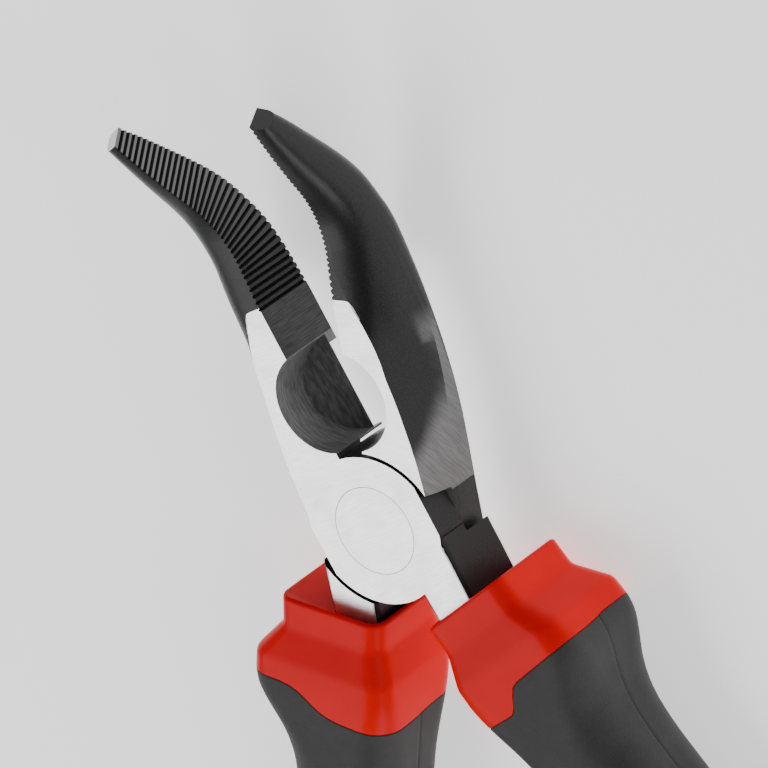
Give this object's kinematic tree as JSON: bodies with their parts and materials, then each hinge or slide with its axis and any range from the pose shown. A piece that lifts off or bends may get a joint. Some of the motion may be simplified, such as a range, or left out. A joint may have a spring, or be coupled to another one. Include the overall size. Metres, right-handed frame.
{
  "type": "bent needle nose pliers",
  "caption": "Side-cutting needle nose pliers with a forward-bent serrated nose, flush riveted lap joint and two-part collared grips.",
  "frame": {"origin": "on the pivot axis, in the plane of the joint's ground back face", "axes": "+Z along the pivot axis towards the side the nose bends to, +Y from the pivot towards the jaws along the line between them, +X to the handle that belongs to the left jaw"},
  "size_m": [0.0842, 0.1671, 0.0203],
  "materials": {
    "forged_steel": "phosphated forging with ground joint faces",
    "rivet_steel": "ground flush",
    "hard_grip": "satin moulded",
    "soft_grip": "matt fine grain"
  },
  "bodies": {
    "left_jaw_lever": {"left_jaw_half": "forged_steel", "pivot_rivet": "rivet_steel", "right_grip_core": "hard_grip", "right_grip_cover": "soft_grip"},
    "right_jaw_lever": {"right_jaw_half": "forged_steel", "left_grip_core": "hard_grip", "left_grip_cover": "soft_grip"}
  },
  "joints": [
    {"name": "pivot", "type": "hinge", "parent": "left_jaw_lever", "child": "right_jaw_lever", "pos_m": [0, 0, 0.0045], "axis": [0, 0, 1], "range_deg": [-23.2, 21.8]}
  ]
}
